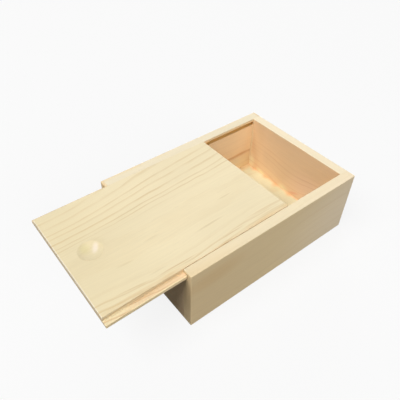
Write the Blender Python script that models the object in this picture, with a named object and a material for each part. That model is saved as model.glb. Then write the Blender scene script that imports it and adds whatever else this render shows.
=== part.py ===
"""Pine box with a lid that slides in two grooves, drawn partly open.

Lengths are in metres. X runs across the box, +Y towards its back end and +Z up.
The origin is the middle of the box's underside.
"""

import bmesh
import bpy
from mathutils import Vector

# Outside of the four walls
BOX_LENGTH = 0.169
BOX_WIDTH = 0.120
BOX_HEIGHT = 0.0585

# Boards
SIDE_WALL_THICKNESS = 0.0084
END_WALL_THICKNESS = 0.0082
BOTTOM_THICKNESS = 0.004
BOTTOM_REBATE_DEPTH = 0.0042
GLUE_LINE = 0.0003
EDGE_EASING = 0.0005

# Groove in each side wall, below a lip of wood
GROOVE_DEPTH = 0.0045
GROOVE_HEIGHT = 0.0039
LIP_HEIGHT = 0.0026

# Lid: a raised middle with a thin tongue along each side
LID_THICKNESS = 0.0067
TONGUE_THICKNESS = 0.0030
LID_REST_GAP = 0.0003
LID_SIDE_CLEARANCE = 0.0006
TONGUE_TIP_CLEARANCE = 0.0006
LID_BACK_CLEARANCE = 0.0004
LID_DRAWN_OUT = 0.061

# Round finger recess in the lid
RECESS_RADIUS = 0.009
RECESS_DEPTH = 0.0023
RECESS_FROM_LID_FRONT = 0.020

# How far a cutter reaches past the face that it cuts
OVERRUN = 0.002

# Counts of faces round curved surfaces
EASING_SEGMENTS = 2
RECESS_SEGMENTS = 64
RECESS_RINGS = 56

# Places that follow from the sizes
HALF_WIDTH = BOX_WIDTH / 2
HALF_LENGTH = BOX_LENGTH / 2
INNER_HALF_WIDTH = HALF_WIDTH - SIDE_WALL_THICKNESS
INNER_HALF_LENGTH = HALF_LENGTH - END_WALL_THICKNESS
GROOVE_TOP = BOX_HEIGHT - LIP_HEIGHT
GROOVE_FLOOR = GROOVE_TOP - GROOVE_HEIGHT
LID_UNDERSIDE = GROOVE_FLOOR + LID_REST_GAP
LID_LENGTH = HALF_LENGTH + INNER_HALF_LENGTH - LID_BACK_CLEARANCE
LID_FRONT = -HALF_LENGTH - LID_DRAWN_OUT
TONGUE_TIP = INNER_HALF_WIDTH + GROOVE_DEPTH - TONGUE_TIP_CLEARANCE
RAISED_HALF_WIDTH = INNER_HALF_WIDTH - LID_SIDE_CLEARANCE

LEFT = -1
RIGHT = 1


def remove_everything():
    for scene_object in list(bpy.data.objects):
        bpy.data.objects.remove(scene_object, do_unlink=True)


def add_collection(name):
    collection = bpy.data.collections.new(name)
    bpy.context.scene.collection.children.link(collection)
    return collection


def linear_colour(hex_colour):
    """Turn an sRGB hex colour into the linear values that a shader takes."""
    channels = [int(hex_colour[start:start + 2], 16) / 255 for start in (1, 3, 5)]
    linear = [c / 12.92 if c <= 0.04045 else ((c + 0.055) / 1.055) ** 2.4 for c in channels]
    return (*linear, 1.0)


def bare_pine(name, hex_colour, roughness):
    material = bpy.data.materials.new(name)
    material.use_nodes = True
    shader = material.node_tree.nodes["Principled BSDF"]
    shader.inputs["Base Color"].default_value = linear_colour(hex_colour)
    shader.inputs["Roughness"].default_value = roughness
    shader.inputs["Metallic"].default_value = 0.0
    return material


def add_object(name, mesh_data, origin, collection):
    """Put a bmesh whose points are about the world origin at its own origin."""
    mesh = bpy.data.meshes.new(name)
    mesh_data.to_mesh(mesh)
    mesh_data.free()
    added = bpy.data.objects.new(name, mesh)
    added.location = origin
    collection.objects.link(added)
    return added


def ease_edges(mesh_data, joint_sides):
    """Round every edge of a block but those of the sides that are glued."""
    def is_glued(edge):
        return any(all(point.co.dot(side) > 0 for point in edge.verts) for side in joint_sides)

    edges = [edge for edge in mesh_data.edges if not is_glued(edge)]
    bmesh.ops.bevel(
        mesh_data,
        geom=edges,
        offset=EDGE_EASING,
        offset_type="OFFSET",
        segments=EASING_SEGMENTS,
        profile=0.5,
        affect="EDGES",
    )


def block(name, corner, far_corner, collection, joint_sides=None):
    """One solid block between two corners, eased unless joint_sides is None."""
    first = Vector(corner)
    second = Vector(far_corner)
    size = Vector(abs(length) for length in second - first)
    mesh_data = bmesh.new()
    bmesh.ops.create_cube(mesh_data, size=1.0)
    bmesh.ops.scale(mesh_data, vec=size, verts=mesh_data.verts)
    if joint_sides is not None:
        ease_edges(mesh_data, joint_sides)
    return add_object(name, mesh_data, (first + second) / 2, collection)


def cutting_block(name, corner, far_corner):
    cutter = block(name, corner, far_corner, cutters)
    cutter.hide_render = True
    cutter.display_type = "WIRE"
    return cutter


def cut(piece, cutter):
    modifier = piece.modifiers.new(cutter.name, "BOOLEAN")
    modifier.operation = "DIFFERENCE"
    modifier.solver = "EXACT"
    modifier.object = cutter


def bottom_rebate():
    """The pocket under the four walls that the bottom panel is let into."""
    reach_x = INNER_HALF_WIDTH + BOTTOM_REBATE_DEPTH
    reach_y = INNER_HALF_LENGTH + BOTTOM_REBATE_DEPTH
    ceiling = BOTTOM_THICKNESS + GLUE_LINE
    return cutting_block("bottom_rebate", (-reach_x, -reach_y, -OVERRUN), (reach_x, reach_y, ceiling))


def lid_groove(name, side):
    """The groove runs from the open front end to the back end wall."""
    mouth = (side * (INNER_HALF_WIDTH - OVERRUN), -HALF_LENGTH - OVERRUN, GROOVE_FLOOR)
    back = (side * (INNER_HALF_WIDTH + GROOVE_DEPTH), INNER_HALF_LENGTH, GROOVE_TOP)
    return cutting_block(name, mouth, back)


def side_wall(name, side, groove_name):
    inner_corner = (side * INNER_HALF_WIDTH, -HALF_LENGTH, 0)
    outer_corner = (side * HALF_WIDTH, HALF_LENGTH, BOX_HEIGHT)
    wall = block(name, inner_corner, outer_corner, parts, joint_sides=[Vector((-side, 0, 0))])
    cut(wall, lid_groove(groove_name, side))
    cut(wall, rebate)
    wall.data.materials.append(bare_pine(name + "_pine", "#dcc596", 0.62))


def end_wall(name, inner_y, outer_y, height):
    """A board between the side walls, with a thin glue line at each end."""
    half_board = INNER_HALF_WIDTH - GLUE_LINE
    glued_ends = [Vector((LEFT, 0, 0)), Vector((RIGHT, 0, 0))]
    wall = block(name, (-half_board, inner_y, 0), (half_board, outer_y, height), parts, glued_ends)
    cut(wall, rebate)
    wall.data.materials.append(bare_pine(name + "_pine", "#e2ca9a", 0.64))


def bottom_panel():
    half_width = INNER_HALF_WIDTH + BOTTOM_REBATE_DEPTH - GLUE_LINE
    half_length = INNER_HALF_LENGTH + BOTTOM_REBATE_DEPTH - GLUE_LINE
    underside = (-half_width, -half_length, 0)
    panel = block("bottom_panel", underside, (half_width, half_length, BOTTOM_THICKNESS), parts)
    panel.data.materials.append(bare_pine("bottom_panel_pine", "#efd9a8", 0.66))


def tongue_shoulder(name, side):
    """The wood cut away above a tongue, which leaves the middle of the lid raised."""
    shoulder_floor = LID_UNDERSIDE + TONGUE_THICKNESS
    lid_top = LID_UNDERSIDE + LID_THICKNESS
    front = (side * RAISED_HALF_WIDTH, LID_FRONT - OVERRUN, shoulder_floor)
    back = (side * (TONGUE_TIP + OVERRUN), LID_FRONT + LID_LENGTH + OVERRUN, lid_top + OVERRUN)
    return cutting_block(name, front, back)


def recess_ball():
    """A ball that dips into the lid's top to the recess's radius and depth."""
    radius = (RECESS_RADIUS ** 2 + RECESS_DEPTH ** 2) / (2 * RECESS_DEPTH)
    centre_height = LID_UNDERSIDE + LID_THICKNESS - RECESS_DEPTH + radius
    mesh_data = bmesh.new()
    bmesh.ops.create_uvsphere(
        mesh_data, u_segments=RECESS_SEGMENTS, v_segments=RECESS_RINGS, radius=radius
    )
    centre = (0, LID_FRONT + RECESS_FROM_LID_FRONT, centre_height)
    ball = add_object("finger_recess", mesh_data, centre, cutters)
    ball.hide_render = True
    ball.display_type = "WIRE"
    return ball


def sliding_lid():
    front = (-TONGUE_TIP, LID_FRONT, LID_UNDERSIDE)
    back = (TONGUE_TIP, LID_FRONT + LID_LENGTH, LID_UNDERSIDE + LID_THICKNESS)
    lid = block("sliding_lid", front, back, parts, joint_sides=[])
    cut(lid, tongue_shoulder("left_shoulder", LEFT))
    cut(lid, tongue_shoulder("right_shoulder", RIGHT))
    cut(lid, recess_ball())
    lid.data.materials.append(bare_pine("sliding_lid_pine", "#efe0bb", 0.60))


remove_everything()
parts = add_collection("sliding_lid_box")
cutters = add_collection("cutters")
rebate = bottom_rebate()

side_wall("left_side_wall", LEFT, "left_lid_groove")
side_wall("right_side_wall", RIGHT, "right_lid_groove")
end_wall("back_end_wall", INNER_HALF_LENGTH, HALF_LENGTH, BOX_HEIGHT)
end_wall("front_end_wall", -INNER_HALF_LENGTH, -HALF_LENGTH, GROOVE_FLOOR)
bottom_panel()
sliding_lid()
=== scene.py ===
"""Looks of the bare pine box with a sliding lid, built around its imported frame.

Lengths are in metres unless a name or comment says millimetres. X runs across the
box, +Y towards its back end and +Z up, as in the frame.
"""

from math import cos, pi, radians, sin

import bmesh
import bpy
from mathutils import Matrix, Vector


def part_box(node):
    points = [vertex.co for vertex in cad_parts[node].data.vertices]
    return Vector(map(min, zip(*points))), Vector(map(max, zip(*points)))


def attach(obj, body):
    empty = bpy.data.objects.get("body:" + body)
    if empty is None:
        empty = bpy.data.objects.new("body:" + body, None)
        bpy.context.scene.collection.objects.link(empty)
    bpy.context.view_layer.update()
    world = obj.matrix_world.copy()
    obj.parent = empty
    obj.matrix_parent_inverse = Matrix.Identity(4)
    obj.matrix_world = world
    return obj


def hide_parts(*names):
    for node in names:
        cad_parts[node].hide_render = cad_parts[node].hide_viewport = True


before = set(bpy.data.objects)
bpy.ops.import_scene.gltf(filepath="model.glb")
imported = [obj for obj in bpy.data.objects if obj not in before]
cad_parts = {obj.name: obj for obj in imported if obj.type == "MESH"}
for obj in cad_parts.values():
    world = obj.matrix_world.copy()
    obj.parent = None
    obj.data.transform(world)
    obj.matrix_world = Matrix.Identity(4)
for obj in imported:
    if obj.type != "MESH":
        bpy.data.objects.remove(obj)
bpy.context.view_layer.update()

# Sizes of the boards that the frame's boxes do not give
GROOVE_DEPTH = 0.0045
GROOVE_HEIGHT = 0.0039
TONGUE_THICKNESS = 0.0030
TONGUE_WIDTH = 0.0042
RECESS_RADIUS = 0.009
RECESS_DEPTH = 0.0023
RECESS_FROM_LID_FRONT = 0.020

# How the boards are worked and glued
ARRIS_RADIUS = 0.0006
LID_ARRIS_RADIUS = 0.0004
GLUED_ARRIS_RADIUS = 0.00002
RECESS_LIP_RADIUS = 0.0007
GLUE_LINE = 0.00001
ARRIS_SEGMENTS = 3
RECESS_SEGMENTS = 96

# How far a cutter reaches past a face, how near two places count as one, and how far a
# point of the recess's lip, which is cut in short straight edges, may be off its round
OVERRUN = 0.002
SAME_PLACE = 0.00001
OFF_ROUND = 0.0003

# Degrees between two faces: a sharper edge is rounded, a flatter one is smoothed
ROUND_ABOVE = 60.0
SMOOTH_BELOW = 35.0

# The upward part of a top face's direction, and how much a broad face outweighs an arris
FACES_UP_SHARE = 0.9
BROAD_FACE_WEIGHT = 100

# Camera, read from the photograph: its frame is 400 pixels square
FRAME_PIXELS = 400
FOCAL_PIXELS = 443.8
CENTRE_PIXEL_X = 189.5
CENTRE_PIXEL_Y = 201.4
CAMERA_PLACE = (0.1982, -0.1913, 0.2929)
CAMERA_TURN = 52.64
CAMERA_DIP = 43.55
SENSOR_WIDTH_MM = 36.0
NEAREST_SEEN = 0.01

# Studio: a soft box high in front, one on the right, one low behind on the left, and a
# pale floor. Tilts are degrees from straight above and turns are degrees round from +X.
SOFT_BOX_AIM = (0.0, 0.0, 0.03)
SOFT_BOX_DISTANCE = 5.0
SOFT_BOX_WIDTH = 3.0
KEY_LEVEL = 0.92
KEY_TILT = 34.0
KEY_TURN = -92.0
SIDE_LEVEL = 0.51
SIDE_TILT = 64.0
SIDE_TURN = -5.0
FILL_LEVEL = 0.8
FILL_TILT = 83.0
FILL_TURN = 138.0
SKY_LEVEL = 0.04
FLOOR_SIZE = 8.0
BACKGROUND_GREY = "#fafafa"
FLOOR_GREY = "#4d4b49"
FLOOR_SHADOW_SHARE = 0.10

MM_PER_METRE = 1000.0

# Shares of a year's growth: the dark latewood is about its last third and ends sharply
LATEWOOD_START_SHARE = 0.62
LATEWOOD_FULL_SHARE = 0.88
LATEWOOD_END_SHARE = 0.95

# How the ring lines ripple and come and go, in millimetres across and along the grain
RIPPLE_WIDTH = 24.0
RIPPLE_LENGTH = 38.0
RIPPLE_HEIGHT = 3.0
FADE_WIDTH = 9.0
FADE_LENGTH = 30.0

# Marks finer than the rings, in millimetres. Fibres are 0.03 mm wide and pores 0.2 mm, so
# both are drawn in bundles that are wide enough to show. A depth is the share of its
# light that the wood loses there.
FIBRE_WIDTH = 0.9
FIBRE_LENGTH = 34.0
FIBRE_DEPTH_SHARE = 0.035
FIBRE_DETAIL = 3.0
PORE_WIDTH = 0.45
PORE_LENGTH = 7.0
PORE_DEPTH_SHARE = 0.08
BLOTCH_WIDTH = 26.0
BLOTCH_LENGTH = 70.0
BLOTCH_DEPTH_SHARE = 0.035

# A noise has its middle at a half, and its detail counts the finer layers on it. Each
# pair is the noise at which a change starts and the noise at which it is full.
NOISE_MIDDLE = 0.5
PLAIN_DETAIL = 2.0
FADE_NOISE_SHARES = (0.35, 0.6)
TONE_NOISE_SHARES = (0.35, 0.65)
PORE_NOISE_SHARES = (0.66, 0.74)
ROUGHNESS_NOISE_SHARES = (0.3, 0.7)

# Parts of a face's direction at which it starts to count and counts in full
END_FACING_SHARES = (0.55, 0.85)
ARRIS_FACING_SHARES = (0.86, 0.74)
UP_FACING_SHARES = (0.4, 0.8)

# Ways that a face is worked, with painted light and shade: the tops show sanding and paler
# painted light as brightly lit faces, and the grooves get painted shade. Depths, margins
# and the blend are in millimetres, and a tone multiplies the light of the wood.
SANDING_AND_LIGHT_DEPTH = 3.0
SANDING_AND_LIGHT_BLEND = 0.3
# Painted shade inside the lid grooves, warmer and darker where the lip shades them
GROOVE_SHADE_DEPTH = 1.2
GROOVE_SHADE_FULL_MARGIN = 0.1
GROOVE_SHADE_END_MARGIN = 0.2
GROOVE_SHADE_COLOUR = "#efc880"
END_GRAIN_TONE = 0.95
ARRIS_TONE = 1.04

# Bare wood is matt and mirrors little, and its grain stands 0.04 mm proud
GRAIN_RELIEF = 0.00004
WOOD_ROUGHNESS = 0.70
ROUGHNESS_SPREAD = 0.10
WOOD_SPECULAR_LEVEL = 0.12
WOOD_IOR = 1.53

# Node words used in more than one place
SMOOTH = {"interpolation_type": "SMOOTHSTEP"}
IN_COLOUR = {"data_type": "RGBA"}
COLOUR_A = 6
COLOUR_B = 7
COLOUR_RESULT = 2

LEFT = -1
RIGHT = 1

# Faces of the box in millimetres, for the grain of the boards
SIDE_FACE_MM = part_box("right_side_wall")[1].x * MM_PER_METRE
SIDE_INNER_FACE_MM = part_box("right_side_wall")[0].x * MM_PER_METRE
END_FACE_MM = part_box("back_end_wall")[1].y * MM_PER_METRE
END_INNER_FACE_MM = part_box("back_end_wall")[0].y * MM_PER_METRE
RIM_TOP_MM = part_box("right_side_wall")[1].z * MM_PER_METRE
GROOVE_FLOOR_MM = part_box("front_end_wall")[1].z * MM_PER_METRE
BOTTOM_TOP_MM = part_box("bottom_panel")[1].z * MM_PER_METRE
LID_TOP_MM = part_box("sliding_lid")[1].z * MM_PER_METRE
LID_FRONT_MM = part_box("sliding_lid")[0].y * MM_PER_METRE

# A patch has its full colour within this share of its size, and fades out from there.
# Where its half size is 400 mm, it runs on over the whole board.
PATCH_CORE_SHARE = 0.2
WHOLE = 400.0


def linear_colour(hex_colour):
    """Turn an sRGB hex colour into the linear values that a shader takes."""
    channels = [int(hex_colour[start:start + 2], 16) / 255 for start in (1, 3, 5)]
    linear = [c / 12.92 if c <= 0.04045 else ((c + 0.055) / 1.055) ** 2.4 for c in channels]
    return (*linear, 1.0)


def add_node(tree, kind, settings=None, inputs=None):
    """Add one node, set its properties, and give its inputs values or links."""
    node = tree.nodes.new(kind)
    for name, value in (settings or {}).items():
        setattr(node, name, value)
    for socket, value in (inputs or {}).items():
        if isinstance(value, bpy.types.NodeSocket):
            tree.links.new(value, node.inputs[socket])
        else:
            node.inputs[socket].default_value = value
    return node


# Camera

def add_camera():
    camera_data = bpy.data.cameras.new("photo_camera")
    camera_data.sensor_width = SENSOR_WIDTH_MM
    camera_data.lens = FOCAL_PIXELS / FRAME_PIXELS * SENSOR_WIDTH_MM
    camera_data.shift_x = (FRAME_PIXELS / 2 - CENTRE_PIXEL_X) / FRAME_PIXELS
    camera_data.shift_y = (CENTRE_PIXEL_Y - FRAME_PIXELS / 2) / FRAME_PIXELS
    camera_data.clip_start = NEAREST_SEEN
    camera = bpy.data.objects.new("photo_camera", camera_data)
    camera.location = CAMERA_PLACE
    camera.rotation_euler = (radians(90 - CAMERA_DIP), 0, radians(CAMERA_TURN))
    bpy.context.scene.collection.objects.link(camera)
    bpy.context.scene.camera = camera


# Light, floor and surroundings

def seen_directly(tree):
    """1 for what the camera sees, also by reflection or through glass, else 0."""
    path = add_node(tree, "ShaderNodeLightPath")
    mirrored = add_node(tree, "ShaderNodeMath", {"operation": "MAXIMUM"}, {
        0: path.outputs["Is Glossy Ray"],
        1: path.outputs["Is Transmission Ray"],
    })
    either = add_node(tree, "ShaderNodeMath", {"operation": "MAXIMUM"}, {
        0: path.outputs["Is Camera Ray"],
        1: mirrored.outputs[0],
    })
    return either.outputs[0]


def add_surroundings():
    """A pale room: the camera sees it near white, the object gets a plain soft level."""
    world = bpy.data.worlds.new("pale_room")
    bpy.context.scene.world = world
    world.use_nodes = True
    tree = world.node_tree
    tree.nodes.clear()
    sky = add_node(tree, "ShaderNodeBackground", inputs={
        "Color": linear_colour("#ffffff"),
        "Strength": SKY_LEVEL,
    })
    seen = add_node(tree, "ShaderNodeBackground", inputs={
        "Color": linear_colour(BACKGROUND_GREY),
        "Strength": 1.0,
    })
    mix = add_node(tree, "ShaderNodeMixShader", inputs={
        0: seen_directly(tree),
        1: sky.outputs[0],
        2: seen.outputs[0],
    })
    add_node(tree, "ShaderNodeOutputWorld", inputs={"Surface": mix.outputs[0]})


def floor_finish():
    """Matt paper: grey to the object, near white to the camera with a faint shadow."""
    material = bpy.data.materials.new("studio_paper")
    material.use_nodes = True
    tree = material.node_tree
    tree.nodes.clear()
    paper = add_node(tree, "ShaderNodeBsdfDiffuse", inputs={"Color": linear_colour(FLOOR_GREY)})
    shadow_paper = add_node(tree, "ShaderNodeBsdfDiffuse", inputs={
        "Color": linear_colour(BACKGROUND_GREY),
    })
    glow = add_node(tree, "ShaderNodeEmission", inputs={
        "Color": linear_colour(BACKGROUND_GREY),
        "Strength": 1.0,
    })
    shown = add_node(tree, "ShaderNodeMixShader", inputs={
        0: FLOOR_SHADOW_SHARE,
        1: glow.outputs[0],
        2: shadow_paper.outputs[0],
    })
    mix = add_node(tree, "ShaderNodeMixShader", inputs={
        0: seen_directly(tree),
        1: paper.outputs[0],
        2: shown.outputs[0],
    })
    add_node(tree, "ShaderNodeOutputMaterial", inputs={"Surface": mix.outputs[0]})
    return material


def add_floor():
    bpy.ops.object.select_all(action="DESELECT")
    bpy.ops.mesh.primitive_plane_add(size=FLOOR_SIZE)
    floor = bpy.context.active_object
    floor.name = "studio_floor"
    floor.data.materials.append(floor_finish())


def add_soft_box(name, level, tilt, turn):
    """A large lamp that shows a face turned to it at about level times its colour."""
    lamp = bpy.data.lights.new(name, "AREA")
    lamp.shape = "SQUARE"
    lamp.size = SOFT_BOX_WIDTH
    lamp.energy = level * pi ** 2 * SOFT_BOX_DISTANCE ** 2
    outward = sin(radians(tilt))
    direction = Vector((
        outward * cos(radians(turn)),
        outward * sin(radians(turn)),
        cos(radians(tilt)),
    ))
    soft_box = bpy.data.objects.new(name, lamp)
    soft_box.visible_camera = False
    soft_box.location = Vector(SOFT_BOX_AIM) + direction * SOFT_BOX_DISTANCE
    soft_box.rotation_euler = direction.to_track_quat("Z", "Y").to_euler()
    bpy.context.scene.collection.objects.link(soft_box)


# Modelling with Blender's own operators

def pick_object(piece):
    bpy.ops.object.select_all(action="DESELECT")
    piece.select_set(True)
    bpy.context.view_layer.objects.active = piece


def sorted_corners(first, second):
    low = Vector(min(pair) for pair in zip(first, second))
    high = Vector(max(pair) for pair in zip(first, second))
    return low, high


def new_board(name, first_corner, second_corner):
    """A block between two corners, with its place in its mesh."""
    low, high = sorted_corners(first_corner, second_corner)
    bpy.ops.object.select_all(action="DESELECT")
    bpy.ops.mesh.primitive_cube_add(size=1.0, location=(low + high) / 2, scale=high - low)
    board = bpy.context.active_object
    board.name = name
    bpy.ops.object.transform_apply(location=True, rotation=True, scale=True)
    return board


def start_editing(piece, select_mode):
    pick_object(piece)
    bpy.ops.object.mode_set(mode="EDIT")
    bpy.ops.mesh.select_mode(type=select_mode)
    bpy.ops.mesh.select_all(action="DESELECT")
    return bmesh.from_edit_mesh(piece.data)


def cut_edges_at(piece, place, normal):
    """Cut new edges round the piece where a plane crosses it."""
    start_editing(piece, "FACE")
    bpy.ops.mesh.select_all(action="SELECT")
    bpy.ops.mesh.bisect(plane_co=place, plane_no=normal)
    bpy.ops.object.mode_set(mode="OBJECT")


def round_edges(piece, is_chosen, radius):
    """Round the edges for which is_chosen(first end, second end) is true."""
    mesh_data = start_editing(piece, "EDGE")
    for edge in mesh_data.edges:
        edge.select_set(is_chosen(edge.verts[0].co, edge.verts[1].co))
    bmesh.update_edit_mesh(piece.data)
    bpy.ops.mesh.bevel(offset=radius, segments=ARRIS_SEGMENTS, affect="EDGES")
    bpy.ops.object.mode_set(mode="OBJECT")


def carve(piece, cutter):
    """Take the cutter's shape out of the piece and throw the cutter away."""
    pick_object(piece)
    boolean = piece.modifiers.new("carve", "BOOLEAN")
    boolean.operation = "DIFFERENCE"
    boolean.solver = "EXACT"
    boolean.object = cutter
    bpy.ops.object.modifier_apply(modifier=boolean.name)
    bpy.data.objects.remove(cutter, do_unlink=True)


def smooth_arrises(piece):
    """Smooth the rounded arrises and keep the broad faces beside them flat."""
    pick_object(piece)
    bpy.ops.object.shade_smooth_by_angle(angle=radians(SMOOTH_BELOW))
    broad_faces_first = piece.modifiers.new("broad_faces_first", "WEIGHTED_NORMAL")
    broad_faces_first.weight = BROAD_FACE_WEIGHT
    broad_faces_first.keep_sharp = True
    bpy.ops.object.modifier_apply(modifier=broad_faces_first.name)


def finish_piece(piece, body, node, material):
    smooth_arrises(piece)
    piece.data.materials.clear()
    piece.data.materials.append(material)
    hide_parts(node)
    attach(piece, body)


# Lid

def raise_lid_middle(lid, shoulder_x, rise):
    """Pull the lid's middle up between its two tongues."""
    for side in (LEFT, RIGHT):
        cut_edges_at(lid, (side * shoulder_x, 0, 0), (1, 0, 0))
    mesh_data = start_editing(lid, "FACE")
    for face in mesh_data.faces:
        is_middle = abs(face.calc_center_median().x) < shoulder_x / 2
        face.select_set(face.normal.z > FACES_UP_SHARE and is_middle)
    bmesh.update_edit_mesh(lid.data)
    bpy.ops.mesh.extrude_region_move(TRANSFORM_OT_translate={"value": (0, 0, rise)})
    bpy.ops.object.mode_set(mode="OBJECT")


def round_lid_arrises(lid):
    pick_object(lid)
    bevel = lid.modifiers.new("arris", "BEVEL")
    bevel.width = LID_ARRIS_RADIUS
    bevel.segments = ARRIS_SEGMENTS
    bevel.limit_method = "ANGLE"
    bevel.angle_limit = radians(ROUND_ABOVE)
    bpy.ops.object.modifier_apply(modifier=bevel.name)


def scoop_finger_recess(lid, centre):
    """A round dish milled into the lid's top, its lip rounded over by sanding."""
    ball_radius = (RECESS_RADIUS ** 2 + RECESS_DEPTH ** 2) / (2 * RECESS_DEPTH)
    bpy.ops.object.select_all(action="DESELECT")
    bpy.ops.mesh.primitive_uv_sphere_add(
        segments=RECESS_SEGMENTS,
        ring_count=RECESS_SEGMENTS,
        radius=ball_radius,
        location=(centre.x, centre.y, centre.z - RECESS_DEPTH + ball_radius),
    )
    carve(lid, bpy.context.active_object)

    def is_on_lip(point):
        is_level = abs(point.z - centre.z) < SAME_PLACE
        from_centre = (point - centre).to_2d().length
        return is_level and abs(from_centre - RECESS_RADIUS) < OFF_ROUND

    round_edges(
        lid,
        lambda first, second: is_on_lip(first) and is_on_lip(second),
        RECESS_LIP_RADIUS,
    )


def make_lid():
    low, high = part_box("sliding_lid")
    tongue_top = low.z + TONGUE_THICKNESS
    lid = new_board("lid_board", low, (high.x, high.y, tongue_top))
    raise_lid_middle(lid, high.x - TONGUE_WIDTH, high.z - tongue_top)
    round_lid_arrises(lid)
    scoop_finger_recess(lid, Vector((0, low.y + RECESS_FROM_LID_FRONT, high.z)))
    return lid


# Walls and bottom

def carve_bottom_rebate(wall):
    """Take out the pocket that the bottom panel is let into."""
    panel_low, panel_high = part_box("bottom_panel")
    reach = Vector((GLUE_LINE, GLUE_LINE, 0))
    floor_corner = panel_low - reach - Vector((0, 0, OVERRUN))
    ceiling_corner = panel_high + reach + Vector((0, 0, GLUE_LINE))
    carve(wall, new_board("rebate_cutter", floor_corner, ceiling_corner))


def make_side_wall(name, node, side):
    low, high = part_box(node)
    groove_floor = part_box("front_end_wall")[1].z
    groove_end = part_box("back_end_wall")[0].y
    wall = new_board(name, low, high)
    inner_x = low.x if side == RIGHT else high.x

    def is_glued(first, second):
        return abs(first.x - inner_x) < SAME_PLACE and abs(second.x - inner_x) < SAME_PLACE

    round_edges(wall, lambda first, second: not is_glued(first, second), ARRIS_RADIUS)
    round_edges(wall, is_glued, GLUED_ARRIS_RADIUS)
    mouth = (inner_x - side * OVERRUN, low.y - OVERRUN, groove_floor)
    back = (inner_x + side * GROOVE_DEPTH, groove_end, groove_floor + GROOVE_HEIGHT)
    carve(wall, new_board("groove_cutter", mouth, back))
    carve_bottom_rebate(wall)
    return wall


def make_end_wall(name, node):
    low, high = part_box(node)
    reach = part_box("right_side_wall")[0].x - GLUE_LINE
    wall = new_board(name, (-reach, low.y, low.z), (reach, high.y, high.z))

    def is_glued(first, second):
        return abs(first.x - second.x) < SAME_PLACE

    round_edges(wall, lambda first, second: not is_glued(first, second), ARRIS_RADIUS)
    round_edges(wall, is_glued, GLUED_ARRIS_RADIUS)
    carve_bottom_rebate(wall)
    return wall


def make_bottom(name, node):
    low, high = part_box(node)
    panel = new_board(name, low, high)
    round_edges(panel, lambda first, second: True, GLUED_ARRIS_RADIUS)
    return panel


# Pine

def board_space(tree, turn):
    """Place in millimetres and facing of a point, turned so that the grain runs along Y."""
    coordinates = add_node(tree, "ShaderNodeTexCoord")
    place = add_node(tree, "ShaderNodeMapping", inputs={
        "Vector": coordinates.outputs["Object"],
        "Rotation": (0, 0, radians(turn)),
        "Scale": (MM_PER_METRE, MM_PER_METRE, MM_PER_METRE),
    })
    facing = add_node(tree, "ShaderNodeMapping", {"vector_type": "VECTOR"}, {
        "Vector": coordinates.outputs["Normal"],
        "Rotation": (0, 0, radians(turn)),
    })
    return place.outputs[0], facing.outputs[0]


def grain_noise(tree, place, width, length, seed, detail=PLAIN_DETAIL):
    """Noise with patches of a width across the grain and a length along it, in mm."""
    stretched = add_node(tree, "ShaderNodeMapping", inputs={
        "Vector": place,
        "Scale": (1 / width, 1 / length, 1 / width),
    })
    return add_node(tree, "ShaderNodeTexNoise", {"noise_dimensions": "4D"}, {
        "Vector": stretched.outputs[0],
        "W": seed,
        "Scale": 1.0,
        "Detail": detail,
    })


def through_places(tree, value, places):
    """A smooth curve through given pairs of a value and the height there."""
    first = places[0][0]
    last = places[-1][0]
    low = min(height for _, height in places)
    high = max(height for _, height in places)
    share = add_node(tree, "ShaderNodeMapRange", inputs={
        "Value": value,
        "From Min": first,
        "From Max": last,
    })
    curve = add_node(tree, "ShaderNodeFloatCurve", inputs={"Value": share.outputs[0]})
    points = curve.mapping.curves[0].points
    points[0].location = (0, (places[0][1] - low) / (high - low))
    points[1].location = (1, (places[-1][1] - low) / (high - low))
    for place, height in places[1:-1]:
        points.new((place - first) / (last - first), (height - low) / (high - low))
    for point in points:
        point.handle_type = "AUTO_CLAMPED"
    curve.mapping.update()
    heights = add_node(tree, "ShaderNodeMapRange", inputs={
        "Value": curve.outputs[0],
        "To Min": low,
        "To Max": high,
    })
    return heights.outputs[0]


def ripple_grain(tree, place, seed):
    """Let the grain ripple a little, as it does round small hidden knots."""
    ripple = grain_noise(tree, place, RIPPLE_WIDTH, RIPPLE_LENGTH, seed)
    centred = add_node(tree, "ShaderNodeVectorMath", {"operation": "SUBTRACT"}, {
        0: ripple.outputs["Color"],
        1: (NOISE_MIDDLE, NOISE_MIDDLE, NOISE_MIDDLE),
    })
    rippled = add_node(tree, "ShaderNodeVectorMath", {"operation": "MULTIPLY_ADD"}, {
        0: centred.outputs[0],
        1: (RIPPLE_HEIGHT, 0, RIPPLE_HEIGHT),
        2: place,
    })
    return rippled.outputs[0]


def bend_grain(tree, place, board):
    """Let the grain stray across the board, as in a trunk that isn't quite straight."""
    parts = add_node(tree, "ShaderNodeSeparateXYZ", inputs={0: place})
    across = board["across"]
    shift = 0.0
    for places, (still_at, full_at) in board["drifts"]:
        share = add_node(tree, "ShaderNodeMapRange", inputs={
            "Value": parts.outputs[across],
            "From Min": still_at,
            "From Max": full_at,
        })
        shift = add_node(tree, "ShaderNodeMath", {"operation": "MULTIPLY_ADD"}, {
            0: through_places(tree, parts.outputs["Y"], places),
            1: share.outputs[0],
            2: shift,
        }).outputs[0]
    shift_vector = add_node(tree, "ShaderNodeCombineXYZ", inputs={across: shift})
    straightened = add_node(tree, "ShaderNodeVectorMath", {"operation": "SUBTRACT"}, {
        0: place,
        1: shift_vector.outputs[0],
    })
    return straightened.outputs[0]


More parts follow.
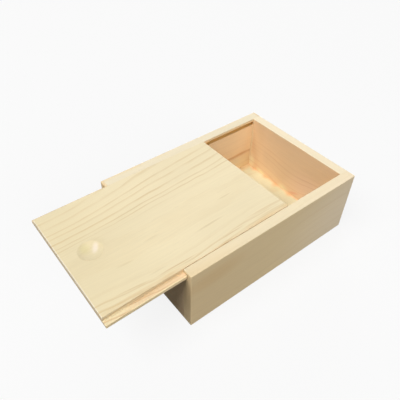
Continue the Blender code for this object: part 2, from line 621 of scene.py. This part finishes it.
def growth_rings(tree, bent_place, board):
    """How much latewood a point holds: 0 in the pale earlywood, 1 in a dark ring line."""
    pith_x, pith_z = board["pith"]
    from_pith = add_node(tree, "ShaderNodeVectorMath", {"operation": "SUBTRACT"}, {
        0: bent_place,
        1: (pith_x, 0, pith_z),
    })
    crosswise = add_node(tree, "ShaderNodeVectorMath", {"operation": "MULTIPLY"}, {
        0: from_pith.outputs[0],
        1: (1, 0, 1),
    })
    radius = add_node(tree, "ShaderNodeVectorMath", {"operation": "LENGTH"}, {
        0: crosswise.outputs[0],
    }).outputs["Value"]
    counted = [(place, number) for number, (place, _) in enumerate(board["rings"])]
    year = add_node(tree, "ShaderNodeMath", {"operation": "FRACT"}, {
        0: through_places(tree, radius, counted),
    }).outputs[0]
    darkening = add_node(tree, "ShaderNodeMapRange", SMOOTH, {
        "Value": year,
        "From Min": LATEWOOD_START_SHARE,
        "From Max": LATEWOOD_FULL_SHARE,
    })
    winter = add_node(tree, "ShaderNodeMapRange", SMOOTH, {
        "Value": year,
        "From Min": 1.0,
        "From Max": LATEWOOD_END_SHARE,
    })
    line = add_node(tree, "ShaderNodeMath", {"operation": "MULTIPLY"}, {
        0: darkening.outputs[0],
        1: winter.outputs[0],
    })
    strong_line = add_node(tree, "ShaderNodeMath", {"operation": "MULTIPLY"}, {
        0: line.outputs[0],
        1: through_places(tree, radius, board["rings"]),
    })
    fading = grain_noise(tree, bent_place, FADE_WIDTH, FADE_LENGTH, board["seed"])
    kept = add_node(tree, "ShaderNodeMapRange", inputs={
        "Value": fading.outputs[0],
        "From Min": FADE_NOISE_SHARES[0],
        "From Max": FADE_NOISE_SHARES[1],
        "To Min": board["faintest_share"],
    })
    return add_node(tree, "ShaderNodeMath", {"operation": "MULTIPLY"}, {
        0: strong_line.outputs[0],
        1: kept.outputs[0],
    }).outputs[0]


def add_patches(tree, place, colour, board):
    """Tint long soft patches: dashes of resin, warm streaks and pale stretches, and painted
    light and shade.
    """
    for centre, reach, lean, tint, share in board["patches"]:
        lean_angle = radians(lean)
        scaled = add_node(tree, "ShaderNodeMapping", {"vector_type": "TEXTURE"}, {
            "Vector": place,
            "Location": centre,
            "Rotation": (0, 0, lean_angle) if board["across"] == "X" else (lean_angle, 0, 0),
            "Scale": reach,
        })
        distance = add_node(tree, "ShaderNodeVectorMath", {"operation": "LENGTH"}, {
            0: scaled.outputs[0],
        })
        inside = add_node(tree, "ShaderNodeMapRange", SMOOTH, {
            "Value": distance.outputs["Value"],
            "From Min": 1.0,
            "From Max": PATCH_CORE_SHARE,
            "To Max": share,
        })
        tinted = add_node(tree, "ShaderNodeMix", IN_COLOUR, {
            0: inside.outputs[0],
            COLOUR_A: colour,
            COLOUR_B: linear_colour(tint),
        })
        colour = tinted.outputs[COLOUR_RESULT]
    return colour


def end_grain_share(tree, facing):
    """1 on a face cut across the fibres, which drinks light and looks darker."""
    turned = add_node(tree, "ShaderNodeVectorMath", {"operation": "ABSOLUTE"}, {0: facing})
    parts = add_node(tree, "ShaderNodeSeparateXYZ", inputs={0: turned.outputs[0]})
    share = add_node(tree, "ShaderNodeMapRange", SMOOTH, {
        "Value": parts.outputs["Y"],
        "From Min": END_FACING_SHARES[0],
        "From Max": END_FACING_SHARES[1],
    })
    return share.outputs[0]


def arris_share(tree, facing):
    """1 on a rounded arris, where no part of the facing is near a full one."""
    turned = add_node(tree, "ShaderNodeVectorMath", {"operation": "ABSOLUTE"}, {0: facing})
    parts = add_node(tree, "ShaderNodeSeparateXYZ", inputs={0: turned.outputs[0]})
    wider = add_node(tree, "ShaderNodeMath", {"operation": "MAXIMUM"}, {
        0: parts.outputs["X"],
        1: parts.outputs["Y"],
    })
    widest = add_node(tree, "ShaderNodeMath", {"operation": "MAXIMUM"}, {
        0: wider.outputs[0],
        1: parts.outputs["Z"],
    })
    share = add_node(tree, "ShaderNodeMapRange", SMOOTH, {
        "Value": widest.outputs[0],
        "From Min": ARRIS_FACING_SHARES[0],
        "From Max": ARRIS_FACING_SHARES[1],
    })
    return share.outputs[0]


def sanded_share(tree, place, facing):
    """1 on the top faces of the rims and the lid, which get sanding after gluing up and paler
    painted light as brightly lit faces.
    """
    height = add_node(tree, "ShaderNodeSeparateXYZ", inputs={0: place})
    is_high = add_node(tree, "ShaderNodeMapRange", inputs={
        "Value": height.outputs["Z"],
        "From Min": LID_TOP_MM - SANDING_AND_LIGHT_DEPTH,
        "From Max": LID_TOP_MM - SANDING_AND_LIGHT_DEPTH + SANDING_AND_LIGHT_BLEND,
    })
    up = add_node(tree, "ShaderNodeSeparateXYZ", inputs={0: facing})
    faces_up = add_node(tree, "ShaderNodeMapRange", SMOOTH, {
        "Value": up.outputs["Z"],
        "From Min": UP_FACING_SHARES[0],
        "From Max": UP_FACING_SHARES[1],
    })
    share = add_node(tree, "ShaderNodeMath", {"operation": "MULTIPLY"}, {
        0: is_high.outputs[0],
        1: faces_up.outputs[0],
    })
    return share.outputs[0]


def groove_shade_share(tree, place):
    """1 inside a lid groove, where the lip shades its faces: they get a warmer, darker painted
    shade.
    """
    full = GROOVE_SHADE_FULL_MARGIN
    end = GROOVE_SHADE_END_MARGIN
    deepest = SIDE_INNER_FACE_MM + GROOVE_DEPTH * MM_PER_METRE
    ceiling = GROOVE_FLOOR_MM + GROOVE_HEIGHT * MM_PER_METRE
    parts = add_node(tree, "ShaderNodeSeparateXYZ", inputs={0: place})
    across = add_node(tree, "ShaderNodeMath", {"operation": "ABSOLUTE"}, {0: parts.outputs["X"]})
    share = 1.0
    for position, outside, inside in (
        (across.outputs[0], SIDE_INNER_FACE_MM, SIDE_INNER_FACE_MM + GROOVE_SHADE_DEPTH),
        (across.outputs[0], deepest + end, deepest + full),
        (parts.outputs["Y"], END_INNER_FACE_MM + end, END_INNER_FACE_MM + full),
        (parts.outputs["Z"], GROOVE_FLOOR_MM - end, GROOVE_FLOOR_MM - full),
        (parts.outputs["Z"], ceiling + end, ceiling + full),
    ):
        step = add_node(tree, "ShaderNodeMapRange", inputs={
            "Value": position,
            "From Min": outside,
            "From Max": inside,
        })
        share = add_node(tree, "ShaderNodeMath", {"operation": "MULTIPLY"}, {
            0: step.outputs[0],
            1: share,
        }).outputs[0]
    return share


def surface_tone(tree, place, bent_place, facing, seed):
    """How light the wood is: fibre bundles, pores, cloudy blotches, ends and arrises."""
    fibres = grain_noise(tree, bent_place, FIBRE_WIDTH, FIBRE_LENGTH, seed, FIBRE_DETAIL)
    pores = grain_noise(tree, bent_place, PORE_WIDTH, PORE_LENGTH, seed)
    blotches = grain_noise(tree, place, BLOTCH_WIDTH, BLOTCH_LENGTH, seed + 1)
    tones = (
        (fibres.outputs[0], TONE_NOISE_SHARES, 1 - FIBRE_DEPTH_SHARE, 1.0),
        (pores.outputs[0], PORE_NOISE_SHARES, 1.0, 1 - PORE_DEPTH_SHARE),
        (blotches.outputs[0], TONE_NOISE_SHARES, 1 - BLOTCH_DEPTH_SHARE, 1.0),
        (end_grain_share(tree, facing), (0.0, 1.0), 1.0, END_GRAIN_TONE),
        (arris_share(tree, facing), (0.0, 1.0), 1.0, ARRIS_TONE),
    )
    tone = 1.0
    for value, (start, end), low, high in tones:
        step = add_node(tree, "ShaderNodeMapRange", inputs={
            "Value": value,
            "From Min": start,
            "From Max": end,
            "To Min": low,
            "To Max": high,
        })
        tone = add_node(tree, "ShaderNodeMath", {"operation": "MULTIPLY"}, {
            0: step.outputs[0],
            1: tone,
        }).outputs[0]
    return tone, fibres.outputs[0]


def wood_colour(tree, place, rippled_place, facing, latewood, board):
    """Pale earlywood and dark latewood, as planed or smoothed by sanding, with painted light on
    the tops, painted shade in the grooves, and patches.
    """
    sanded = sanded_share(tree, place, facing)
    worked = {}
    for growth in ("earlywood", "latewood"):
        worked[growth] = add_node(tree, "ShaderNodeMix", IN_COLOUR, {
            0: sanded,
            COLOUR_A: linear_colour(board[growth]),
            COLOUR_B: linear_colour(board["sanded_" + growth]),
        }).outputs[COLOUR_RESULT]
    pale = worked["earlywood"]
    if board["is_grooved"]:
        # Painted shade inside the grooves
        pale = add_node(tree, "ShaderNodeMix", IN_COLOUR, {
            0: groove_shade_share(tree, place),
            COLOUR_A: pale,
            COLOUR_B: linear_colour(GROOVE_SHADE_COLOUR),
        }).outputs[COLOUR_RESULT]
    wood = add_node(tree, "ShaderNodeMix", IN_COLOUR, {
        0: latewood,
        COLOUR_A: add_patches(tree, rippled_place, pale, board),
        COLOUR_B: worked["latewood"],
    })
    return wood.outputs[COLOUR_RESULT]


def pine(name, board):
    """Bare pine: pale wood with thin darker ring lines, planed, and smoothed by sanding on top,
    where the tops also get paler painted light, while the grooves get painted shade.

    The eye sees long wavy ring lines that come and go, fine streaks along the grain,
    darker ends, and a paler, plainer face where sandpaper has passed and painted light lies.
    """
    material = bpy.data.materials.new(name)
    material.use_nodes = True
    tree = material.node_tree
    shader = tree.nodes["Principled BSDF"]
    place, facing = board_space(tree, board["turn"])
    rippled_place = ripple_grain(tree, place, board["seed"])
    bent_place = bend_grain(tree, rippled_place, board)
    latewood = growth_rings(tree, bent_place, board)
    wood = wood_colour(tree, place, rippled_place, facing, latewood, board)
    tone, fibres = surface_tone(tree, place, bent_place, facing, board["seed"])
    toned = add_node(tree, "ShaderNodeVectorMath", {"operation": "SCALE"}, {
        0: wood,
        "Scale": tone,
    })
    roughness = add_node(tree, "ShaderNodeMapRange", inputs={
        "Value": fibres,
        "From Min": ROUGHNESS_NOISE_SHARES[0],
        "From Max": ROUGHNESS_NOISE_SHARES[1],
        "To Min": WOOD_ROUGHNESS - ROUGHNESS_SPREAD / 2,
        "To Max": WOOD_ROUGHNESS + ROUGHNESS_SPREAD / 2,
    })
    relief = add_node(tree, "ShaderNodeMath", {"operation": "ADD"}, {
        0: latewood,
        1: fibres,
    })
    bump = add_node(tree, "ShaderNodeBump", inputs={
        "Height": relief.outputs[0],
        "Distance": GRAIN_RELIEF,
    })
    shader.inputs["IOR"].default_value = WOOD_IOR
    shader.inputs["Specular IOR Level"].default_value = WOOD_SPECULAR_LEVEL
    tree.links.new(toned.outputs[0], shader.inputs["Base Color"])
    tree.links.new(roughness.outputs[0], shader.inputs["Roughness"])
    tree.links.new(bump.outputs[0], shader.inputs["Normal"])
    return material


# The six boards. All places are in millimetres, after a board is turned so that its
# grain runs along Y, which puts the front and back walls' thickness along X. The pith is
# the middle of the trunk. A ring is (distance from the pith, strength of its dark line),
# and most rings lie 3 to 9 mm apart. A drift is pairs of (place along the grain, how far
# the grain strays across the board there), and then two places across the board: where
# the drift is nothing and where it is full. A patch is (middle, half its size, lean in
# degrees, colour, share of that colour), and a later one lies on top.

# The colours for the tops show sanding there and paler painted light as brightly lit faces.
LID_GRAIN = {
    "turn": 0,
    "across": "X",
    "is_grooved": False,
    "seed": 3.0,
    "pith": (12.0, -1.0),
    "rings": (
        (55.0, 0.1), (61.0, 0.1), (64.7, 0.15), (67.3, 0.55), (69.7, 0.6), (74.1, 0.6),
        (79.6, 0.5), (84.6, 0.5), (93.3, 0.4), (102.4, 0.45), (111.0, 0.4),
    ),
    "drifts": (
        (
            (
                (-146.0, 28.5), (-118.0, 24.8), (-100.0, 21.2), (-78.0, 15.6),
                (-57.0, 9.7), (-22.0, 4.6), (15.0, -0.5),
            ),
            (0.0, -46.0),
        ),
        (
            (
                (-146.0, 0.4), (-132.0, 2.6), (-112.0, 4.4), (-95.0, 6.0), (-78.0, 5.9),
                (-60.0, 4.2), (-47.0, 3.2), (-35.0, 2.3), (-18.0, 1.9), (15.0, 2.3),
            ),
            (5.0, 40.0),
        ),
    ),
    "faintest_share": 0.25,
    "earlywood": "#f0d4ad",
    "latewood": "#d2a877",
    "sanded_earlywood": "#f2e3be",
    "sanded_latewood": "#d9be8c",
    "patches": (
        ((30.2, -45.0, LID_TOP_MM), (1.1, 17.0, 4.0), 1.0, "#dcc9a0", 0.6),
        ((14.2, -17.0, LID_TOP_MM), (1.0, 9.0, 4.0), 1.0, "#dcc9a0", 0.5),
        ((24.3, -113.0, LID_TOP_MM), (1.2, 9.0, 4.0), -3.0, "#d8c498", 0.7),
        ((16.0, -86.0, LID_TOP_MM), (1.0, 9.0, 4.0), 0.0, "#dcc9a0", 0.4),
        ((42.6, -98.0, LID_TOP_MM), (0.9, 9.0, 4.0), 0.0, "#dcc9a0", 0.5),
        ((42.9, -2.0, LID_TOP_MM), (0.9, 24.0, 4.0), -1.0, "#dcc094", 0.45),
        ((45.3, -14.0, LID_TOP_MM), (0.9, 30.0, 4.0), -1.5, "#dcc094", 0.4),
        ((47.6, 2.0, LID_TOP_MM), (0.9, 24.0, 4.0), -2.0, "#dcc094", 0.45),
        ((46.4, -38.0, LID_TOP_MM), (0.8, 16.0, 4.0), 0.0, "#d6b888", 0.6),
        ((46.6, -86.0, LID_TOP_MM), (0.8, 22.0, 4.0), 0.0, "#d6b888", 0.8),
        ((44.6, -120.0, LID_TOP_MM), (0.8, 18.0, 4.0), -6.0, "#d6b888", 0.8),
        ((49.5, -128.0, LID_TOP_MM), (1.6, 30.0, 4.0), 0.0, "#e4c08e", 0.6),
        ((50.6, -65.0, 59.6), (3.0, WHOLE, 1.4), 0.0, "#e8ca98", 0.9),
        # Painted shade along the raised middle's right side face and the tongue beside it
        ((52.0, -65.0, 56.5), (1.6, WHOLE, 3.2), 0.0, "#e3c79a", 0.6),
        ((53.0, -142.0, 55.3), (4.0, 24.0, 3.0), 0.0, "#f6e6bd", 0.9),
        # Painted shade: the lid's top darker and yellower towards its front
        ((0.0, -165.0, LID_TOP_MM), (150.0, 110.0, 9.0), 0.0, "#e9dab3", 0.8),
        # Painted light on the tongue's outer side face
        ((55.5, -118.0, 54.2), (1.4, 80.0, 3.2), 0.0, "#ffeabb", 1.0),
        # Painted highlight along the top of the lid's front end
        ((0.0, LID_FRONT_MM, 58.8), (150.0, 0.8, 2.6), 0.0, "#fff4dc", 0.9),
        # The finger recess: painted shade on its far slope, a painted highlight just behind its
        # middle, and darker, olive painted shade on its front left slope
        ((-4.5, -118.5, 57.6), (7.0, 9.0, 3.0), -38.0, "#e6d6ae", 0.9),
        ((-1.6, -121.4, 57.6), (3.2, 6.5, 3.0), 52.0, "#fff2e6", 0.6),
        ((-4.6, -128.0, 57.4), (6.0, 6.5, 3.0), 52.0, "#e6d9a4", 0.6),
    ),
}

BACK_WALL_GRAIN = {
    "turn": 90,
    "across": "Z",
    "is_grooved": False,
    "seed": 11.0,
    "pith": (-101.0, -60.0),
    "rings": (
        (60.0, 0.1), (69.5, 0.2), (75.8, 0.3), (80.8, 0.08), (86.2, 0.3), (91.6, 0.3),
        (97.5, 0.12), (104.0, 0.04), (111.0, 0.06), (118.0, 0.03), (130.0, 0.03),
    ),
    "drifts": (
        (
            (
                (-60.0, 7.0), (-35.0, 5.0), (-20.0, 3.0), (-8.0, 0.6), (3.0, 0.0),
                (13.0, 0.8), (24.0, 3.5), (38.0, 7.0), (60.0, 11.0),
            ),
            (50.0, 25.0),
        ),
    ),
    "faintest_share": 0.4,
    "earlywood": "#f7d2a5",
    "latewood": "#d9a36f",
    "sanded_earlywood": "#f9eaca",
    "sanded_latewood": "#e6cb9c",
    "patches": (
        # Painted light: paler low on the inner face near the left corner, where light from the
        # floor falls
        ((-END_INNER_FACE_MM, -50.0, 10.0), (3.0, 9.0, 14.0), 0.0, "#fff0c8", 0.8),
        ((-END_INNER_FACE_MM, -34.0, 3.0), (3.0, 9.0, 7.5), 0.0, "#fff4c4", 0.6),
        ((-END_INNER_FACE_MM, -3.0, 3.0), (3.0, 10.0, 8.0), 0.0, "#fff4c4", 0.6),
        ((-END_INNER_FACE_MM, 11.0, 8.0), (3.0, 9.0, 2.2), 25.0, "#f0a878", 0.8),
        # Painted light: paler and pinker on the right part of the inner face
        ((-END_INNER_FACE_MM, 26.0, 18.0), (3.0, 34.0, 26.0), 0.0, "#ffd8b3", 0.8),
        ((-END_INNER_FACE_MM, -42.0, 46.0), (3.0, 10.0, 36.0), 0.0, "#eecb9e", 0.7),
        # Painted light up the inner face's left corner, lifting the corner's shade
        ((-END_INNER_FACE_MM, -SIDE_INNER_FACE_MM, 34.0), (3.0, 3.5, 40.0), 0.0, "#ffe6bc", 1.0),
        ((-END_FACE_MM, 0.0, 24.0), (4.0, WHOLE, 60.0), 0.0, "#f4dcb0", 1.0),
        # The rim's top: the colour of sanding and paler painted light
        ((-80.0, 0.0, LID_TOP_MM), (40.0, WHOLE, 1.6), 0.0, "#f9eaca", 1.0),
        # Colour of sanding and a painted highlight along the outer top arris
        ((-END_FACE_MM, 0.0, RIM_TOP_MM), (1.3, WHOLE, 1.6), 0.0, "#fbf0dc", 0.9),
    ),
}

LEFT_WALL_GRAIN = {
    "turn": 0,
    "across": "Z",
    "is_grooved": True,
    "seed": 17.0,
    "pith": (-20.0, -70.0),
    "rings": (
        (72.0, 0.1), (82.0, 0.1), (87.0, 0.15), (98.6, 0.9), (108.0, 0.05), (116.0, 0.08),
        (125.0, 0.05), (134.0, 0.05), (142.0, 0.1),
    ),
    "drifts": (
        (
            ((-90.0, 3.0), (-30.0, 0.0), (20.0, 1.5), (60.0, 0.0), (90.0, 1.0)),
            (-1.0, 0.0),
        ),
    ),
    "faintest_share": 0.5,
    "earlywood": "#fddaac",
    "latewood": "#dba878",
    "sanded_earlywood": "#f3e6c8",
    "sanded_latewood": "#e2cb9c",
    "patches": (
        ((-SIDE_FACE_MM, 0.0, 28.0), (5.0, WHOLE, WHOLE), 0.0, "#f4dcae", 1.0),
        # The rim's top: the colour of sanding and paler painted light
        ((-56.0, 0.0, LID_TOP_MM), (40.0, WHOLE, 1.6), 0.0, "#f3e6c8", 1.0),
        ((-56.0, -END_FACE_MM, 28.0), (WHOLE, 3.0, WHOLE), 0.0, "#f0d6aa", 1.0),
        ((-56.0, END_FACE_MM, 28.0), (WHOLE, 3.0, WHOLE), 0.0, "#f0d6aa", 1.0),
        # Painted light: paler low on the inner face, where light from the floor falls
        ((-SIDE_INNER_FACE_MM, 48.0, 9.0), (6.0, 44.0, 18.0), 0.0, "#ffe6ba", 1.0),
        ((-SIDE_INNER_FACE_MM, 60.0, 22.8), (2.0, 18.0, 2.6), 0.0, "#e0a06a", 0.4),
        # Painted shade at the back end of the groove
        ((-54.0, 70.0, 54.2), (6.0, 11.0, 2.4), 0.0, "#a8703c", 0.8),
        ((-SIDE_INNER_FACE_MM, 40.0, 57.3), (1.5, 120.0, 1.4), 0.0, "#f8dcaa", 0.8),
        # Painted light up the inner face at the back corner, lifting the corner's shade
        ((-SIDE_INNER_FACE_MM, END_INNER_FACE_MM, 28.0), (3.0, 5.0, 36.0), 0.0, "#ffe0b4", 0.9),
        # Colour of sanding and a painted highlight along the outer top arris
        ((-SIDE_FACE_MM, 0.0, RIM_TOP_MM), (1.4, WHOLE, 1.6), 0.0, "#faecd0", 0.8),
    ),
}

RIGHT_WALL_GRAIN = {
    "turn": 0,
    "across": "Z",
    "is_grooved": True,
    "seed": 23.0,
    "pith": (-30.0, 95.0),
    "rings": (
        (90.0, 0.1), (96.0, 0.15), (101.0, 0.1), (107.0, 0.18), (113.0, 0.1), (118.0, 0.12),
        (124.0, 0.18), (130.0, 0.1), (137.0, 0.15), (144.0, 0.1),
    ),
    "drifts": (
        (
            ((-90.0, 2.0), (-40.0, -1.0), (10.0, 1.0), (50.0, 4.0), (90.0, 3.0)),
            (-1.0, 0.0),
        ),
    ),
    "faintest_share": 0.2,
    "earlywood": "#f4dcae",
    "latewood": "#e3c392",
    "sanded_earlywood": "#f4e4c1",
    "sanded_latewood": "#e6cb9c",
    "patches": (
        # Painted light and shade: the outer face darker towards the front and paler towards the
        # back
        ((SIDE_FACE_MM, -110.0, 20.0), (14.0, 115.0, 90.0), 0.0, "#ecd3a6", 1.0),
        ((SIDE_FACE_MM, 110.0, 20.0), (14.0, 125.0, 90.0), 0.0, "#fbe8c8", 1.0),
        ((SIDE_FACE_MM, -64.0, 44.0), (10.0, 40.0, 12.0), 2.0, "#e2bd85", 0.38),
        # Painted shade on the front end under the lid's overhang
        ((55.0, -END_FACE_MM, 36.0), (14.0, 1.0, 32.0), 0.0, "#c8ad82", 0.65),
    ),
}

FRONT_WALL_GRAIN = dict(
    BACK_WALL_GRAIN,
    seed=31.0,
    pith=(140.0, -50.0),
    # Painted shade under the lid's overhang: the earlywood darker than the other walls'
    earlywood="#ead0a6",
    patches=(
        # Painted shade, darker still towards the right end
        ((END_FACE_MM, 58.0, 20.0), (20.0, 48.0, 90.0), 0.0, "#dcc19b", 1.0),
    ),
)

BOTTOM_GRAIN = {
    "turn": 0,
    "across": "X",
    "is_grooved": False,
    "seed": 41.0,
    "pith": (-10.0, -70.0),
    "rings": (
        (68.0, 0.2), (74.0, 0.3), (80.0, 0.3), (85.0, 0.35), (90.0, 0.35), (96.0, 0.3),
        (102.0, 0.3),
    ),
    "drifts": (
        (
            ((-90.0, 0.0), (-20.0, 3.0), (40.0, 0.0), (90.0, 3.0)),
            (-101.0, -100.0),
        ),
    ),
    "faintest_share": 0.4,
    "earlywood": "#f3edc8",
    "latewood": "#e6cf9c",
    "sanded_earlywood": "#f3edc8",
    "sanded_latewood": "#e6cf9c",
    "patches": (
        # Painted shade: orange along the foot of the back wall, with a wavy edge, and along the
        # foot of the left wall
        ((0.0, 79.0, BOTTOM_TOP_MM), (150.0, 6.5, 3.5), 0.0, "#fbc98f", 0.9),
        ((-42.0, 79.0, BOTTOM_TOP_MM), (7.0, 9.5, 3.5), 0.0, "#fbc98f", 0.9),
        ((-26.0, 79.0, BOTTOM_TOP_MM), (6.0, 9.0, 3.5), 0.0, "#fbc98f", 0.9),
        ((-11.0, 79.0, BOTTOM_TOP_MM), (6.0, 10.5, 3.5), 0.0, "#fbc98f", 0.9),
        ((6.0, 79.0, BOTTOM_TOP_MM), (6.0, 9.5, 3.5), 0.0, "#fbc98f", 0.9),
        ((-SIDE_INNER_FACE_MM, 70.0, BOTTOM_TOP_MM), (8.0, 40.0, 3.5), 0.0, "#f8ca92", 0.6),
    ),
}


# The whole scene

add_camera()
add_surroundings()
add_floor()
add_soft_box("key_soft_box", KEY_LEVEL, KEY_TILT, KEY_TURN)
add_soft_box("side_soft_box", SIDE_LEVEL, SIDE_TILT, SIDE_TURN)
add_soft_box("fill_soft_box", FILL_LEVEL, FILL_TILT, FILL_TURN)

lid_pine = pine("sanded_pine_lid", LID_GRAIN)
finish_piece(make_lid(), "lid", "sliding_lid", lid_pine)
for side, word, grain in ((LEFT, "left", LEFT_WALL_GRAIN), (RIGHT, "right", RIGHT_WALL_GRAIN)):
    node = word + "_side_wall"
    wall = make_side_wall(word + "_wall_board", node, side)
    finish_piece(wall, "box", node, pine("planed_pine_" + node, grain))
for word, grain in (("back", BACK_WALL_GRAIN), ("front", FRONT_WALL_GRAIN)):
    node = word + "_end_wall"
    wall = make_end_wall(word + "_wall_board", node)
    finish_piece(wall, "box", node, pine("planed_pine_" + node, grain))
bottom = make_bottom("bottom_board", "bottom_panel")
bottom_pine = pine("planed_pine_bottom", BOTTOM_GRAIN)
finish_piece(bottom, "box", "bottom_panel", bottom_pine)

bpy.context.scene.view_settings.view_transform = "Standard"
